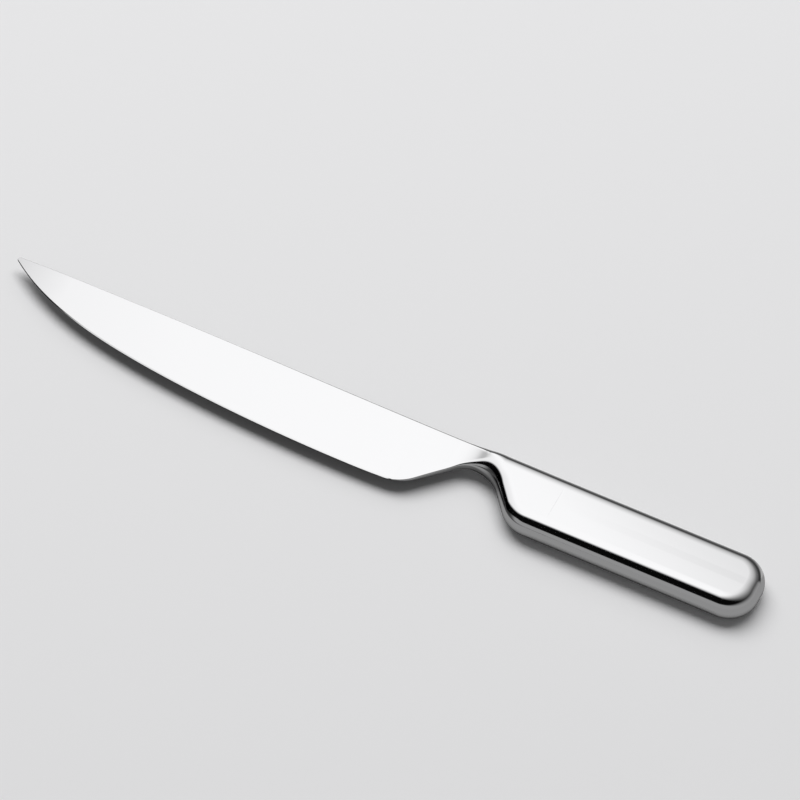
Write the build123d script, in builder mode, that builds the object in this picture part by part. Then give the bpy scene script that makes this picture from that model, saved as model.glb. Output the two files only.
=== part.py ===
"""An all-steel carving knife that lies on its flank.

Millimetres. +X runs from the tip to the butt, +Y towards the spine, +Z up through the thickness. The origin
is the bottom centre of the whole knife, so the lower handle flank rests on z = 0 and the blade is held clear.
"""

import os
from math import cos, radians, sin, tan

from build123d import *

# Lengths along the knife
blade_length = 200.2  # tip to the narrowest part of the neck
handle_length = 119.8  # narrowest part of the neck to the butt

# The blade
blade_width = 29.7  # crown of the spine to the lowest point of the edge
spine_rise = 0.9  # crown of the spine above the straight spine of the handle
tip_drop = 0.7  # the spine's fall from its crown to the tip
tip_drop_power = 5  # which is steepest close to the tip
tip_height = 1.5  # blunt height of the very tip
tip_round = 0.9  # its upper corner
crown_from_tip = 60.0
spine_thickness = 2.3  # at the neck
tip_thickness = 0.8
bevel_thickness = 0.5  # where the ground flank meets the sharpened bevel
bevel_height = 0.4
edge_thickness = 0.06
edge_sweep_share = 0.57  # share of the edge's rise that is a plain parabola
tip_curl_power = 7  # the rest of the rise, which turns the edge up near the tip

# The heel, where the edge ends and the outline climbs to the neck
heel_lift = 0.4  # rise of the edge from its lowest point to the heel
heel_lift_angle = 3.0
heel_radius = 16.0
heel_slope = 45.0
crook_radius = 9.0  # hollow between the heel and the neck

# The neck and the shoulder
neck_width = 9.45
throat_radius = 15.0  # hollow between the neck and the shoulder
shoulder_radius = 14.5
shoulder_slope = 51.0
shoulder_landing = 7.0  # straight belly between the shoulder and the handle's mouth
ramp_start = 10.4  # the flanks begin to rise this far ahead of the neck
ramp_length = 21.4  # and reach the handle's thickness over this length
ramp_hollow_share = 0.57  # share of the ramp that is the hollow arc
spine_round_share = 0.46  # the spine's round side takes at most this share of the width
belly_round_share = 0.98  # and the underside's at most this share of what that leaves
neck_edge_round = 0.2  # the sides' rounding where the neck leaves the blade
side_round_power = 3  # how soon the sides then turn fully round

# The handle
handle_width = 27.4
handle_thickness = 13.0
butt_flat = 3.4  # straight end between the butt's two round corners
shell_wall = 1.0
seam_width = 0.4  # weld bead between the two shells
bolster_weld_width = 0.8

# What the handle holds
plug_length = 6.0
plug_clearance = 0.15
tang_width = 12.0
tang_thickness = 4.0
tang_hole_radius = 2.0
tang_notch_radius = 2.0
tang_notch_place_share = 0.75
tang_edge_round = 1.0
weight_length = 26.0
weight_clearance = 0.05
weight_side_clearance = 0.7
weight_edge_round = 1.0
tang_to_weight = 8.0
filling_clearance = 0.1

overrun = 40.0  # how far cutting shapes run past the metal

# Places worked out from the sizes
overall_length = blade_length + handle_length
butt_x = overall_length / 2
tip_x = -overall_length / 2
neck_x = butt_x - handle_length
mid_z = handle_thickness / 2
crown_y = blade_width / 2
edge_low_y = -blade_width / 2
spine_y = crown_y - spine_rise
belly_y = spine_y - handle_width
neck_low_y = spine_y - neck_width
tip_spine_y = crown_y - tip_drop
tip_edge_y = tip_spine_y - tip_height
rim_radius = (handle_thickness - seam_width) / 2
butt_radius = (handle_width - butt_flat) / 2

# The outline under the neck: four arcs of stated radius, joined by two straight slopes
crook_run = crook_radius * sin(radians(heel_slope))
crook_fall = crook_radius * (1 - cos(radians(heel_slope)))
heel_run = heel_radius * (sin(radians(heel_slope)) - sin(radians(heel_lift_angle)))
heel_fall = heel_radius * (cos(radians(heel_lift_angle)) - cos(radians(heel_slope)))
heel_y = edge_low_y + heel_lift
heel_straight_fall = neck_low_y - heel_y - crook_fall - heel_fall
crook_start_x = neck_x - crook_run
heel_end_x = crook_start_x - heel_straight_fall / tan(radians(heel_slope))
heel_x = heel_end_x - heel_run
edge_low_x = heel_x - heel_lift / tan(radians(heel_lift_angle / 2))

throat_run = throat_radius * sin(radians(shoulder_slope))
throat_fall = throat_radius * (1 - cos(radians(shoulder_slope)))
shoulder_run = shoulder_radius * sin(radians(shoulder_slope))
shoulder_fall = shoulder_radius * (1 - cos(radians(shoulder_slope)))
shoulder_straight_fall = neck_low_y - belly_y - throat_fall - shoulder_fall
throat_end_x = neck_x + throat_run
shoulder_start_x = throat_end_x + shoulder_straight_fall / tan(radians(shoulder_slope))
shoulder_end_x = shoulder_start_x + shoulder_run

ramp_x = neck_x - ramp_start
ramp_end_x = ramp_x + ramp_length
mouth_x = shoulder_end_x + shoulder_landing
shell_x = mouth_x + bolster_weld_width
plug_x = mouth_x + plug_length
weight_end_x = butt_x - butt_radius
weight_x = weight_end_x - weight_length
tang_x = weight_x - tang_to_weight
weight_width = handle_width - 2 * (rim_radius + weight_side_clearance)
plug_width = handle_width - 2 * (shell_wall + plug_clearance)
plug_height = handle_thickness - 2 * (shell_wall + plug_clearance)
plug_round = rim_radius - shell_wall - plug_clearance


def arc_y(centre_x, top_y, radius, x):
    """Height of the underside of an arch whose top is at centre_x, top_y."""
    return top_y - radius + (radius**2 - (x - centre_x) ** 2) ** 0.5


def outline_low(x):
    """Lower outline from the slope behind the heel to the handle's mouth, and its steepness there."""
    if x < crook_start_x:
        return neck_low_y - crook_fall - (crook_start_x - x) * tan(radians(heel_slope)), heel_slope
    if x < neck_x:
        slant = (neck_x - x) / crook_radius
        return arc_y(neck_x, neck_low_y, crook_radius, x), slant_angle(slant)
    if x < throat_end_x:
        slant = (x - neck_x) / throat_radius
        return arc_y(neck_x, neck_low_y, throat_radius, x), slant_angle(slant)
    if x < shoulder_start_x:
        fall = (x - throat_end_x) * tan(radians(shoulder_slope))
        return neck_low_y - throat_fall - fall, shoulder_slope
    if x < shoulder_end_x:
        slant = (shoulder_end_x - x) / shoulder_radius
        return -arc_y(shoulder_end_x, -belly_y, shoulder_radius, x), slant_angle(slant)
    return belly_y, 0.0


def slant_angle(slant):
    """Angle in degrees whose sine is slant."""
    return Vector(1, 0).get_angle(Vector((1 - slant**2) ** 0.5, slant))


def edge_y(x):
    """The cutting edge: a parabola and a steep power from the lowest point to the tip, a slight lift behind."""
    if x > edge_low_x:
        return edge_low_y + heel_lift * ((x - edge_low_x) / (heel_x - edge_low_x)) ** 2
    share = (edge_low_x - x) / (edge_low_x - tip_x)
    rise = tip_edge_y - edge_low_y
    return edge_low_y + rise * (edge_sweep_share * share**2 + (1 - edge_sweep_share) * share**tip_curl_power)


def blade_spine_y(x):
    """The spine's gentle crown, which runs into the handle's straight spine where the flanks rise."""
    crown_x = tip_x + crown_from_tip
    if x < crown_x:
        return crown_y - tip_drop * ((crown_x - x) / (crown_x - tip_x)) ** tip_drop_power
    share = (x - crown_x) / (ramp_x - crown_x)
    return crown_y - spine_rise * share**2 * (3 - 2 * share)


def spine_half(x):
    """Half the blade's thickness at the spine, which tapers evenly to the tip."""
    share = (x - tip_x) / (ramp_x - tip_x)
    return (tip_thickness + (spine_thickness - tip_thickness) * share) / 2


def flank_half(x, y):
    """Half the blade's thickness at a height on its flat ground flank."""
    share = (y - edge_y(x)) / (blade_spine_y(x) - edge_y(x))
    return bevel_thickness / 2 + (spine_half(x) - bevel_thickness / 2) * share


def ramp_half(x):
    """Half the thickness of the neck and shoulder at the spine: a hollow arc, then a round one."""
    rise = (handle_thickness - spine_thickness) / 2
    share = min(max((x - ramp_x) / ramp_length, 0), 1)
    if share < ramp_hollow_share:
        return spine_thickness / 2 + rise * share**2 / ramp_hollow_share
    return handle_thickness / 2 - rise * (1 - share) ** 2 / (1 - ramp_hollow_share)


def belly_half(x):
    """Half the thickness along the underside, which starts from the thinner ground flank."""
    start = flank_half(ramp_x, outline_low(ramp_x)[0])
    gap = spine_thickness / 2 - start
    share = min((x - ramp_x) / ramp_start, 1)
    return ramp_half(x) - gap * (1 - share)


def side_round(x):
    """Share of the half thickness that is rounded on both sides of the neck and shoulder."""
    first = neck_edge_round / (spine_thickness / 2)
    last = rim_radius / mid_z
    share = min((x - ramp_x) / ramp_length, 1)
    return last - (last - first) * (1 - share) ** side_round_power


def blade_section(x):
    """Section of the blade's plate at x: a wedge with a sharpened bevel along its edge."""
    top, low = blade_spine_y(x), edge_y(x)
    bevel_y = low + min(bevel_height, (top - low) / 2)
    thick, bevel, edge = spine_half(x), bevel_thickness / 2, edge_thickness / 2
    with BuildSketch(Plane.YZ.offset(x)) as section:
        with BuildLine():
            Polyline(
                (top, mid_z + thick),
                (bevel_y, mid_z + bevel),
                (low, mid_z + edge),
                (low, mid_z - edge),
                (bevel_y, mid_z - bevel),
                (top, mid_z - thick),
                close=True,
            )
        make_face()
    return section.sketch


def neck_section(x):
    """Section of the neck or shoulder at x: two flanks between sides that are partly or fully round."""
    low, slope = outline_low(x)
    high_half, low_half = ramp_half(x), belly_half(x)
    high_rise, low_rise = high_half * side_round(x), low_half * side_round(x)
    high_land, low_land = high_half - high_rise, low_half - low_rise
    high_run = min(high_rise, (spine_y - low) * spine_round_share)
    low_run = min(low_rise / cos(radians(slope)), (spine_y - low - high_run) * belly_round_share)
    high_in, low_in = spine_y - high_run, low + low_run
    with BuildSketch(Plane.YZ.offset(x)) as section:
        with BuildLine():
            Line((high_in, mid_z + high_half), (low_in, mid_z + low_half))
            EllipticalCenterArc((low_in, mid_z + low_land), low_run, low_rise, start_angle=90)
            Line((low, mid_z + low_land), (low, mid_z - low_land))
            EllipticalCenterArc((low_in, mid_z - low_land), low_run, low_rise, start_angle=180)
            Line((low_in, mid_z - low_half), (high_in, mid_z - high_half))
            EllipticalCenterArc((high_in, mid_z - high_land), high_run, high_rise, start_angle=270)
            Line((spine_y, mid_z - high_land), (spine_y, mid_z + high_land))
            EllipticalCenterArc((high_in, mid_z + high_land), high_run, high_rise, start_angle=0)
        make_face()
    return section.sketch


# Stations of the lofts, as shares of the length that each loft covers
blade_station_shares = (0, 0.012, 0.04, 0.09, 0.16, 0.25, 0.36, 0.48, 0.6, 0.72, 0.84, 0.93, 1)
ramp_station_shares = (0, 0.06, 0.14, 0.23, 0.32, 0.41, 0.5, 0.59, 0.68, 0.77, 0.86, 0.94, 1)
shoulder_station_shares = (0, 0.12, 0.28, 0.44, 0.6, 0.76, 0.9, 1)

with BuildPart() as blade:
    # The blade's plate, ground to a wedge and sharpened, with its tip's upper corner rounded
    loft([blade_section(tip_x + (ramp_x - tip_x) * share) for share in blade_station_shares])
    fillet(blade.edges().group_by(Axis.X)[0].sort_by(Axis.Y)[-1], tip_round)
    # The rounded heel and the slope that climbs from it
    with BuildSketch(Plane.XY.offset(mid_z)):
        with BuildLine():
            heel_start = (heel_x, heel_y)
            heel_end = (heel_end_x, heel_y + heel_fall)
            heel_tangent = (cos(radians(heel_lift_angle)), sin(radians(heel_lift_angle)))
            TangentArc(heel_start, heel_end, tangent=heel_tangent)
            past_ramp_x = ramp_x + overrun
            past_ramp_y = heel_y + heel_fall + (past_ramp_x - heel_end_x) * tan(radians(heel_slope))
            Polyline(
                heel_end,
                (past_ramp_x, past_ramp_y),
                (past_ramp_x, edge_low_y - overrun),
                (heel_x, edge_low_y - overrun),
                heel_start,
            )
        make_face()
    extrude(amount=overrun, both=True, mode=Mode.SUBTRACT)
    # The neck swells to the handle's thickness, and the shoulder to its width
    for start_x, end_x, shares in (
        (ramp_x, ramp_end_x, ramp_station_shares),
        (ramp_end_x, shoulder_end_x, shoulder_station_shares),
    ):
        loft([neck_section(start_x + (end_x - start_x) * share) for share in shares])
    # The straight landing at the handle's full width and thickness
    with BuildSketch(Plane.YZ.offset(shoulder_end_x)):
        with Locations((spine_y - handle_width / 2, mid_z)):
            RectangleRounded(handle_width, handle_thickness, rim_radius)
    extrude(amount=shoulder_landing)
    # The plug that seats in the handle's mouth
    with BuildSketch(Plane.YZ.offset(mouth_x)):
        with Locations((spine_y - handle_width / 2, mid_z)):
            RectangleRounded(plug_width, plug_height, plug_round)
    extrude(amount=plug_length)
    # The tang, with rounded edges, a hole and two notches that the cement keys into
    with BuildSketch(Plane.YZ.offset(plug_x)):
        with Locations((spine_y - handle_width / 2, mid_z)):
            RectangleRounded(tang_width, tang_thickness, tang_edge_round)
    extrude(amount=tang_x - plug_x)
    with BuildSketch(Plane.XY.offset(mid_z)):
        with Locations(((plug_x + tang_x) / 2, spine_y - handle_width / 2)):
            Circle(tang_hole_radius)
        notch_x = plug_x + (tang_x - plug_x) * tang_notch_place_share
        for side in (-1, 1):
            with Locations((notch_x, spine_y - handle_width / 2 + side * tang_width / 2)):
                Circle(tang_notch_radius)
    extrude(amount=tang_thickness, both=True, mode=Mode.SUBTRACT)


def handle_outline(inset):
    """Plan of the straight handle, drawn in by an even inset on its sides and its butt."""
    with BuildSketch() as outline:
        length = butt_x - shell_x
        with Locations((shell_x + (length - inset) / 2, spine_y - handle_width / 2)):
            Rectangle(length - inset, handle_width - 2 * inset)
        fillet(outline.vertices().group_by(Axis.X)[-1], butt_radius - inset)
    return outline.sketch


def handle_form(inset):
    """Solid handle with round sides and a round butt, drawn in by an even inset."""
    with BuildPart() as form:
        with BuildSketch(Plane.XY.offset(inset)):
            add(handle_outline(inset))
        extrude(amount=handle_thickness - 2 * inset)
        rims = form.faces().sort_by(Axis.Z)
        mouth = form.faces().sort_by(Axis.X)[0]
        edges = (rims[0].edges() + rims[-1].edges()) - mouth.edges()
        fillet(edges, rim_radius - inset)
    return form.part


outer_form = handle_form(0)
cavity_form = handle_form(shell_wall)
filling_form = handle_form(shell_wall + filling_clearance)

# Two pressed shells, mirror images of each other, that leave room for the bead between them
with BuildPart() as upper_handle_shell:
    add(outer_form)
    add(cavity_form, mode=Mode.SUBTRACT)
    split(bisect_by=Plane.XY.offset(mid_z + seam_width / 2), keep=Keep.TOP)

with BuildPart() as lower_handle_shell:
    add(outer_form)
    add(cavity_form, mode=Mode.SUBTRACT)
    split(bisect_by=Plane.XY.offset(mid_z - seam_width / 2), keep=Keep.BOTTOM)

# The bead along both sides and round the butt, ground flush with the shells
with BuildPart() as handle_seam_weld:
    with BuildSketch(Plane.XY.offset(mid_z)):
        add(handle_outline(0))
        add(handle_outline(shell_wall), mode=Mode.SUBTRACT)
    extrude(amount=seam_width / 2, both=True)

# The bead between the shoulder and the handle's mouth
with BuildPart() as bolster_weld:
    with BuildSketch(Plane.YZ.offset(mouth_x)):
        with Locations((spine_y - handle_width / 2, mid_z)):
            RectangleRounded(handle_width, handle_thickness, rim_radius)
            RectangleRounded(
                handle_width - 2 * shell_wall,
                handle_thickness - 2 * shell_wall,
                rim_radius - shell_wall,
                mode=Mode.SUBTRACT,
            )
    extrude(amount=bolster_weld_width)

# The weight, as thick as the cavity, between the two flanks
with BuildPart() as balance_weight:
    with BuildSketch(Plane.XY.offset(shell_wall + weight_clearance)):
        with Locations((weight_x + weight_length / 2, spine_y - handle_width / 2)):
            RectangleRounded(weight_length, weight_width, weight_edge_round)
    extrude(amount=handle_thickness - 2 * (shell_wall + weight_clearance))

# The cement, round the tang and the weight
with BuildPart() as handle_filling:
    add(filling_form)
    split(bisect_by=Plane.YZ.offset(plug_x), keep=Keep.TOP)
    add(blade.part, mode=Mode.SUBTRACT)
    add(balance_weight.part, mode=Mode.SUBTRACT)

pieces = {
    "blade": blade,
    "upper_handle_shell": upper_handle_shell,
    "lower_handle_shell": lower_handle_shell,
    "handle_seam_weld": handle_seam_weld,
    "bolster_weld": bolster_weld,
    "balance_weight": balance_weight,
    "handle_filling": handle_filling,
}
os.makedirs("parts", exist_ok=True)
for name, piece in pieces.items():
    piece.part.label = name
    export_step(piece.part, f"parts/{name}.step")
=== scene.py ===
"""A carving knife of polished steel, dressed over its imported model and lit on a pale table.

The knife lies on its handle's flank: +X runs from the tip to the butt, +Y towards the spine and +Z up.
Sizes are in millimetres and meshes are scaled to metres when they are finished.
"""

import logging
import math
from collections.abc import Callable
from dataclasses import dataclass
from enum import Enum

import bmesh
import bpy
from bmesh.types import BMEdge, BMesh, BMFace, BMVert
from bpy.types import Material, Node, NodeTree, Object
from mathutils import Matrix, Vector


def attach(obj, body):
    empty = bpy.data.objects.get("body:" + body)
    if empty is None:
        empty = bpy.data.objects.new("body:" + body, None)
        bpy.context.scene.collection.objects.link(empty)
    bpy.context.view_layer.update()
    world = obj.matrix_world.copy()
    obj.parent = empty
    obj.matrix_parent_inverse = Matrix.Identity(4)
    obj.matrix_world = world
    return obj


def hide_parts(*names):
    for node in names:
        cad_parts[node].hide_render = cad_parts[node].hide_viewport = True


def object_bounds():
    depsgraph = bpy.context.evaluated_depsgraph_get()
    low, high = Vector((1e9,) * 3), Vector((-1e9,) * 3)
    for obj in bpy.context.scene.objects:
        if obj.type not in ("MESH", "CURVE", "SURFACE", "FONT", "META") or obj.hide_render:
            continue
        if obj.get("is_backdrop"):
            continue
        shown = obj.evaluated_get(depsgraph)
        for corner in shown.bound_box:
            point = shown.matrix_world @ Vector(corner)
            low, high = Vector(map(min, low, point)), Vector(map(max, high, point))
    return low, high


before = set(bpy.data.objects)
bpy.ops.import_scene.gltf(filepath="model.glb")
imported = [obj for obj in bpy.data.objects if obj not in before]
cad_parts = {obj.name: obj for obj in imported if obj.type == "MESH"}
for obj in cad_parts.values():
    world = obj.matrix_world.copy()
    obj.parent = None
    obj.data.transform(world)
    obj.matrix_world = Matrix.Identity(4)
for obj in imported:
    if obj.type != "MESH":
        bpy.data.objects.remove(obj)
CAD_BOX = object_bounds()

MM = 0.001
MERGE_MM = 1e-5
NEAR_MM = 1e-4
BODY = "root"
SHARP_ANGLE = math.radians(12)
RANGE_SOCKETS = ("Value", "From Min", "From Max", "To Min", "To Max")
log = logging.getLogger("carving_knife")


class Side(Enum):
    """Which of the handle's two pressed shells a piece is."""

    UPPER = 1
    LOWER = -1


class Grain(Enum):
    """Which way a pattern's lines run, as its stretch along X, Y and Z."""

    EVEN = (1.0, 1.0, 1.0)
    LENGTHWISE = (0.04, 1.0, 1.0)
    CROSSWISE = (1.0, 0.04, 1.0)


Patterns = tuple[tuple[str, str, float, float, Grain], ...]
Reliefs = tuple[tuple[str, float, float], ...]
Steps = tuple[tuple, ...]


def linear(colour: str) -> tuple[float, float, float, float]:
    """Turns an sRGB hex colour into the linear colour that a shader takes.

    Args:
        colour: The colour as six hex digits after a hash.

    Returns:
        Linear red, green and blue, and an alpha of 1.
    """
    shares = [int(colour[i : i + 2], 16) / 255 for i in (1, 3, 5)]
    red, green, blue = (s / 12.92 if s <= 0.04045 else ((s + 0.055) / 1.055) ** 2.4 for s in shares)
    return red, green, blue, 1.0


def ease(x: float, start: float, end: float) -> float:
    """Eases from 0 at one place to 1 at another, level at both and beyond them.

    Args:
        x: The place that is asked for.
        start: Where the rise begins.
        end: Where it is over.

    Returns:
        The share of the rise at x.
    """
    share = min(max((x - start) / (end - start), 0), 1)
    return share**2 * (3 - 2 * share)


def add_node(tree: NodeTree, kind: str, inputs: dict | None = None, **settings: object) -> Node:
    """Adds one shader node with its settings, its values and its links.

    Args:
        tree: The node tree that takes the node.
        kind: The node's type.
        inputs: For each input socket, an output socket to link or a value to set.
        settings: Attributes of the node itself.

    Returns:
        The new node.
    """
    node = tree.nodes.new(kind)
    for name, value in settings.items():
        setattr(node, name, value)
    for socket, value in (inputs or {}).items():
        if isinstance(value, bpy.types.NodeSocket):
            tree.links.new(value, node.inputs[socket])
        else:
            node.inputs[socket].default_value = value
    return node


def add_steps(tree: NodeTree, steps: Steps, values: dict) -> dict:
    """Adds a chain of nodes that work on numbers.

    Args:
        tree: The node tree that takes the chain.
        steps: For each node the name of its result, its operation or interpolation, what it works on,
            and what with: a name, a number, or the four ends of the two ranges that it maps.
        values: The output sockets that the chain starts from, by name.

    Returns:
        The same sockets and the steps' results, by name.
    """
    values = dict(values)
    for name, step, first, second in steps:
        if isinstance(second, tuple):
            inputs = dict(zip(RANGE_SOCKETS, (values[first], *second)))
            node = add_node(tree, "ShaderNodeMapRange", inputs, interpolation_type=step)
        else:
            inputs = {0: values.get(first, first), 1: values.get(second, second)}
            node = add_node(tree, "ShaderNodeMath", inputs, operation=step)
        values[name] = node.outputs[0]
    return values


def new_tree(name: str) -> tuple[Material, NodeTree]:
    """Makes an empty node material.

    Args:
        name: The material's name.

    Returns:
        The material and its cleared node tree.
    """
    material = bpy.data.materials.new(name)
    material.use_nodes = True
    material.node_tree.nodes.clear()
    return material, material.node_tree


@dataclass(frozen=True)
class Finish:
    """A finish of the knife: patterns on object coordinates, which steer one principled shader."""

    name: str
    # The value named shade goes from the first colour to the second
    colours: tuple[str, str]
    metallic: float
    roughness: float
    # Each pattern's name, its kind, the size of its cells in millimetres, its detail and its grain
    patterns: Patterns
    # What is worked out from the patterns, from x in metres and from the finish's own values
    steps: Steps
    # Each relief's pattern, its strength and its depth in millimetres
    reliefs: Reliefs

    def material(self) -> Material:
        """Builds the finish.

        Returns:
            The new material.
        """
        material, tree = new_tree(self.name)
        place = add_node(tree, "ShaderNodeTexCoord").outputs["Object"]
        axes = add_node(tree, "ShaderNodeSeparateXYZ", {"Vector": place})
        values = {**vars(self), "x": axes.outputs["X"]}
        for name, kind, size, detail, grain in self.patterns:
            stretch = add_node(tree, "ShaderNodeMapping", {"Vector": place, "Scale": grain.value})
            cells = {"Vector": stretch.outputs["Vector"], "Scale": 1 / (size * MM), "Detail": detail}
            values[name] = add_node(tree, kind, cells).outputs[0]
        values = add_steps(tree, self.steps, values)
        normal = {}
        for pattern, strength, depth in self.reliefs:
            relief = {"Height": values[pattern], "Strength": strength, "Distance": depth * MM, **normal}
            normal = {"Normal": add_node(tree, "ShaderNodeBump", relief).outputs["Normal"]}
        first, second = self.colours
        shades = {0: values["shade"], 6: linear(first), 7: linear(second)}
        colour = add_node(tree, "ShaderNodeMix", shades, data_type="RGBA").outputs[2]
        looks = {"Base Color": colour, "Metallic": self.metallic, "Roughness": values["roughness"]}
        shader = add_node(tree, "ShaderNodeBsdfPrincipled", looks | normal)
        add_node(tree, "ShaderNodeOutputMaterial", {"Surface": shader.outputs["BSDF"]})
        return material


@dataclass(frozen=True)
class PolishedSteel(Finish):
    """Mirror-polished 18/10 stainless steel, cut with a sisal wheel and buffed."""

    # To the eye: bright, sharp reflections, blurred a little by fine buffing lines along the piece, bent
    # slightly where the wheel dwelt; a painted shade greys the steel towards the blade's tip, darkening its
    # reflection
    colours: tuple[str, str] = ("#E3E3E4", "#C9C9CA")
    metallic: float = 1.0
    roughness: float = 0.075
    # How far the painted shade greys the steel at the tip, which darkens its reflection there
    haze: float = 0.0
    patterns: Patterns = (
        ("lines", "ShaderNodeTexNoise", 0.5, 3.0, Grain.LENGTHWISE),
        ("waves", "ShaderNodeTexNoise", 22.0, 1.0, Grain.EVEN),
    )
    steps: Steps = (
        ("wear", "LINEAR", "lines", (0.0, 1.0, 0.8, 1.2)),
        ("roughness", "MULTIPLY", "wear", "roughness"),
        # Painted shade: the steel turns to the second colour towards the tip, so its reflection there is
        # darker
        ("shade", "LINEAR", "x", (-0.136, -0.16, 0.0, 1.0)),
        ("shade", "MULTIPLY", "shade", "haze"),
    )
    reliefs: Reliefs = (("lines", 1.0, 0.0006), ("waves", 1.0, 0.012))


@dataclass(frozen=True)
class SawnSteel(Finish):
    """Mild steel bar, cut to length on a bandsaw."""

    # To the eye: dull grey metal with soft highlights, scored across by the saw's teeth
    name: str = "sawn_mild_steel"
    colours: tuple[str, str] = ("#5C5B59", "#8C8A87")
    metallic: float = 1.0
    roughness: float = 0.45
    patterns: Patterns = (("shade", "ShaderNodeTexNoise", 0.8, 4.0, Grain.CROSSWISE),)
    steps: Steps = ()
    reliefs: Reliefs = (("shade", 0.4, 0.05),)


@dataclass(frozen=True)
class CastCement(Finish):
    """Plaster-like cement, poured round the tang."""

    # To the eye: a pale, matt, gritty mass with small pits
    name: str = "cast_cement"
    colours: tuple[str, str] = ("#A9A296", "#CBC5B8")
    metallic: float = 0.0
    roughness: float = 0.9
    patterns: Patterns = (
        ("shade", "ShaderNodeTexNoise", 0.9, 4.0, Grain.EVEN),
        ("pores", "ShaderNodeTexVoronoi", 2.6, 0.0, Grain.EVEN),
    )
    steps: Steps = (
        ("pits", "LINEAR", "pores", (0.1, 0.3, 0.0, 1.0)),
        ("height", "MULTIPLY", "shade", "pits"),
    )
    reliefs: Reliefs = (("height", 0.6, 0.15),)


def sheet(bm: BMesh, columns: int, rows: int, place: Callable[[int, int], Vector]) -> list[BMVert]:
    """Adds a grid and moves each of its points onto a surface.

    Args:
        bm: The mesh that takes the grid.
        columns: Steps along the grid's X.
        rows: Steps along the grid's Y.
        place: Gives the point for a column and a row.

    Returns:
        The grid's points.
    """
    made = bmesh.ops.create_grid(bm, x_segments=columns, y_segments=rows, size=0.5)["verts"]
    for vert in made:
        vert.co = place(round((vert.co.x + 0.5) * columns), round((vert.co.y + 0.5) * rows))
    return made


def spread(*stretches: tuple[float, float, int]) -> list[float]:
    """Lists stations over stretches that follow one another.

    Args:
        stretches: For each stretch its start, its end and its number of steps.

    Returns:
        The stations, with the place between two stretches listed once.
    """
    stations = [stretches[0][0]]
    for start, end, steps in stretches:
        stations += [start + (end - start) * (i + 1) / steps for i in range(steps)]
    return stations


def new_object(bm: BMesh, name: str, material: Material) -> Object:
    """Makes a mesh an object of the scene.

    Args:
        bm: The mesh in metres, which is freed.
        name: The object's name.
        material: Its material.

    Returns:
        The new object.
    """
    mesh = bpy.data.meshes.new(name)
    bm.to_mesh(mesh)
    bm.free()
    mesh.materials.append(material)
    made = bpy.data.objects.new(name, mesh)
    bpy.context.scene.collection.objects.link(made)
    return made


def finish_piece(bm: BMesh, middle: float, name: str, node: str, material: Material) -> Object:
    """Closes a mesh, turns it to metres and puts it in its CAD node's place.

    Args:
        bm: The piece in millimetres, in the frame but with the knife's middle at height 0.
        middle: The middle's height.
        name: The piece's name.
        node: The CAD node that it stands for.
        material: Its finish.

    Returns:
        The new object.
    """
    bmesh.ops.translate(bm, vec=(0, 0, middle), verts=bm.verts)
    bmesh.ops.remove_doubles(bm, verts=bm.verts, dist=MERGE_MM)
    bmesh.ops.recalc_face_normals(bm, faces=bm.faces)
    for face in bm.faces:
        face.smooth = True
    for edge in bm.edges:
        edge.smooth = edge.is_manifold and edge.calc_face_angle() < SHARP_ANGLE
    bmesh.ops.scale(bm, vec=(MM, MM, MM), verts=bm.verts)
    piece = new_object(bm, name, material)
    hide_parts(node)
    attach(piece, BODY)
    log.info("%s: %d faces", name, len(piece.data.polygons))
    return piece


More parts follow.
